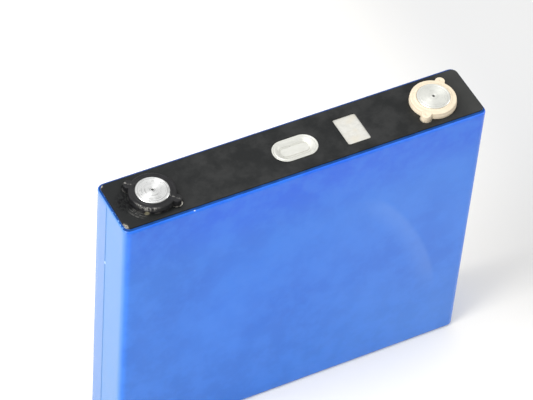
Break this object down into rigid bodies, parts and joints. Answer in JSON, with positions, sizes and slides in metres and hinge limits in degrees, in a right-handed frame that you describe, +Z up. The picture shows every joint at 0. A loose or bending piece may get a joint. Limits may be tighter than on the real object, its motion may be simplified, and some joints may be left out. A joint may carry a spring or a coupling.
{
  "type": "prismatic battery cell",
  "caption": "Wrapped prismatic lithium cell: blue film over an aluminium can, black top sheet, two round weld terminals in moulded rings, and an oval safety vent.",
  "frame": {"origin": "middle of the cell's underside, where it stands", "axes": "+X along the long side towards the positive terminal, +Y towards the rear large face, +Z up out of the terminals"},
  "size_m": [0.1482, 0.026, 0.126],
  "materials": {
    "blue_film": "satin film",
    "black_sheet": "matte",
    "can_aluminium": "satin",
    "terminal_aluminium": "turned",
    "vent_aluminium": "stamped satin",
    "foil_aluminium": "bright",
    "copper": "satin",
    "black_plastic": "moulded satin",
    "cream_plastic": "moulded satin",
    "seal_rubber": "matte",
    "inner_plastic": "moulded matte",
    "clear_plastic": "film",
    "electrode": "coated foil",
    "separator": "matte",
    "roll_tape": "film tape"
  },
  "bodies": {
    "root": {"bottom_pad": "clear_plastic", "bottom_support": "inner_plastic", "can": "can_aluminium", "fill_cap": "can_aluminium", "fill_plug": "seal_rubber", "film_wrap": "blue_film", "front_aluminium_foils": "foil_aluminium", "front_copper_foils": "copper", "front_roll": "electrode", "front_roll_separator": "separator", "inner_bag": "clear_plastic", "lid": "can_aluminium", "negative_collector": "copper", "negative_lower_insulator": "inner_plastic", "negative_pole": "copper", "negative_pole_seal": "seal_rubber", "negative_terminal_disc": "terminal_aluminium", "negative_terminal_ring": "black_plastic", "negative_weld_clips": "copper", "positive_collector": "foil_aluminium", "positive_lower_insulator": "inner_plastic", "positive_pole": "terminal_aluminium", "positive_pole_seal": "seal_rubber", "positive_terminal_disc": "terminal_aluminium", "positive_terminal_ring": "cream_plastic", "positive_weld_clips": "foil_aluminium", "rear_aluminium_foils": "foil_aluminium", "rear_copper_foils": "copper", "rear_roll": "electrode", "rear_roll_separator": "separator", "roll_tapes": "roll_tape", "top_sheet": "black_sheet", "vent_frame": "vent_aluminium", "vent_guard": "inner_plastic", "vent_membrane": "vent_aluminium"}
  },
  "joints": []
}
